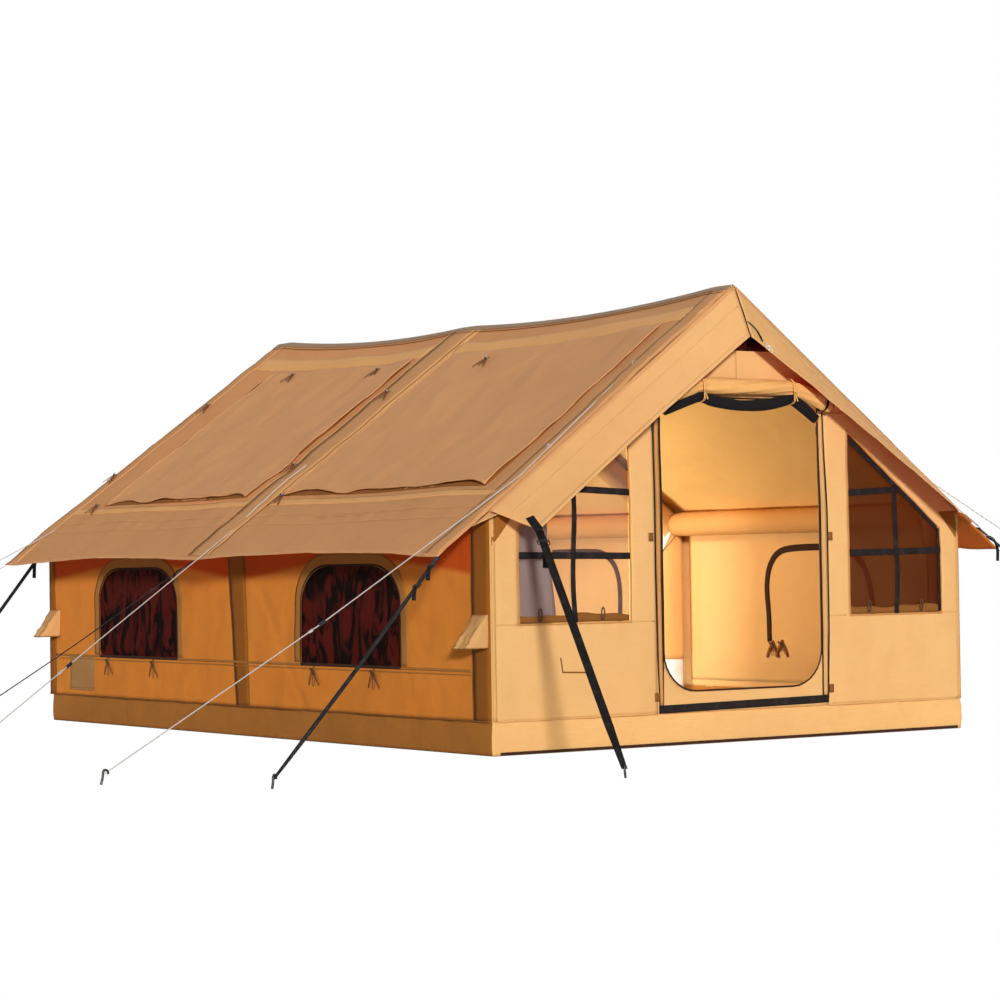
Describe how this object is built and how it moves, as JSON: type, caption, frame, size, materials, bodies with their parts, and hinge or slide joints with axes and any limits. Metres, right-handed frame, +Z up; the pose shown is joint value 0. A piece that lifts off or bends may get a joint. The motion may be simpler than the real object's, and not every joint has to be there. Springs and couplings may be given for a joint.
{
  "type": "inflatable tent",
  "caption": "Inflatable cabin tent with air beam arches, canvas walls, a ridged roof with visors, an open door rolled up, mesh windows, a tub groundsheet and pegged guy lines",
  "frame": {"origin": "centre of the groundsheet's underside, on the ground", "axes": "+Z up, the door faces -Y, +X is to the right for someone who looks along +Y into the door"},
  "size_m": [6.8193, 7.7425, 2.43],
  "materials": {
    "sand_canvas": "matt woven canvas",
    "roof_canvas": "matt woven canvas",
    "cover_canvas": "matt woven canvas",
    "tub_film": "coated groundsheet cloth",
    "white_bladder": "satin white film",
    "black_mesh": "fine insect mesh",
    "black_webbing": "woven webbing",
    "dark_plastic": "moulded plastic",
    "light_cord": "braided cord"
  },
  "bodies": {
    "tent": {"groundsheet": "tub_film", "left_wall": "sand_canvas", "right_wall": "sand_canvas", "rear_wall": "sand_canvas", "front_wall_left": "sand_canvas", "front_wall_right": "sand_canvas", "front_wall_centre": "sand_canvas", "roof_left": "roof_canvas", "roof_right": "roof_canvas", "front_visor_left": "sand_canvas", "front_visor_right": "sand_canvas", "rear_visor_left": "sand_canvas", "rear_visor_right": "sand_canvas", "air_bladder_front": "white_bladder", "air_bladder_middle": "white_bladder", "air_bladder_rear": "white_bladder", "beam_sleeve_front": "sand_canvas", "beam_sleeve_middle": "sand_canvas", "beam_sleeve_rear": "sand_canvas", "eave_beam_left_front": "sand_canvas", "eave_beam_left_rear": "sand_canvas", "eave_beam_right_front": "sand_canvas", "eave_beam_right_rear": "sand_canvas", "window_screen_left_front": "black_mesh", "window_screen_left_rear": "black_mesh", "window_screen_right_front": "black_mesh", "window_screen_right_rear": "black_mesh", "front_window_left": "black_mesh", "front_window_right": "black_mesh", "door_roll": "sand_canvas", "door_screen_roll": "black_mesh", "door_tie_left": "sand_canvas", "door_tie_right": "sand_canvas", "vent_hood_front": "sand_canvas", "vent_hood_rear": "sand_canvas", "inflation_valve": "dark_plastic", "guy_rope_left_front": "light_cord", "guy_rope_left_middle": "light_cord", "guy_rope_left_rear": "light_cord", "guy_rope_right_front": "light_cord", "guy_rope_right_middle": "light_cord", "guy_rope_right_rear": "light_cord", "guy_strap_left_front": "black_webbing", "guy_strap_left_middle": "black_webbing", "guy_strap_left_rear": "black_webbing", "guy_strap_right_front": "black_webbing", "guy_strap_right_middle": "black_webbing", "guy_strap_right_rear": "black_webbing", "visor_strap_left_front": "black_webbing", "visor_strap_right_front": "black_webbing", "visor_strap_left_rear": "black_webbing", "visor_strap_right_rear": "black_webbing"},
    "cover_left_front": {"roof_cover_left_front": "cover_canvas"},
    "cover_left_rear": {"roof_cover_left_rear": "cover_canvas"},
    "cover_right_front": {"roof_cover_right_front": "cover_canvas"},
    "cover_right_rear": {"roof_cover_right_rear": "cover_canvas"},
    "left_zip_slider": {"door_zip_slider_left": "dark_plastic"},
    "right_zip_slider": {"door_zip_slider_right": "dark_plastic"},
    "port_zip_slider": {"cable_port_slider": "dark_plastic"},
    "cap": {"valve_cap": "dark_plastic"}
  },
  "joints": [
    {"name": "cover_left_front_lift", "type": "hinge", "parent": "tent", "child": "cover_left_front", "pos_m": [-0.25415, -1.22, 2.19351], "axis": [0, 0.9999, -0.0119], "range_deg": [0, 75]},
    {"name": "cover_left_rear_lift", "type": "hinge", "parent": "tent", "child": "cover_left_rear", "pos_m": [-0.25415, 1.13, 2.20625], "axis": [0, 0.9997, 0.0257], "range_deg": [0, 75]},
    {"name": "cover_right_front_lift", "type": "hinge", "parent": "tent", "child": "cover_right_front", "pos_m": [0.25415, -1.22, 2.19351], "axis": [0, -0.9999, 0.0119], "range_deg": [0, 75]},
    {"name": "cover_right_rear_lift", "type": "hinge", "parent": "tent", "child": "cover_right_rear", "pos_m": [0.25415, 1.13, 2.20625], "axis": [0, -0.9997, -0.0257], "range_deg": [0, 75]},
    {"name": "left_door_zip", "type": "slide", "parent": "tent", "child": "left_zip_slider", "axis": [0, 0, 1], "range_m": [-1.42, 0]},
    {"name": "right_door_zip", "type": "slide", "parent": "tent", "child": "right_zip_slider", "axis": [0, 0, 1], "range_m": [-1.42, 0]},
    {"name": "cable_port_zip", "type": "slide", "parent": "tent", "child": "port_zip_slider", "axis": [1, 0, 0], "range_m": [-0.125, 0]},
    {"name": "valve_cap_hinge", "type": "hinge", "parent": "tent", "child": "cap", "pos_m": [-1.40652, -2.4217, 0.222], "axis": [0, -1, 0], "range_deg": [0, 110]}
  ]
}
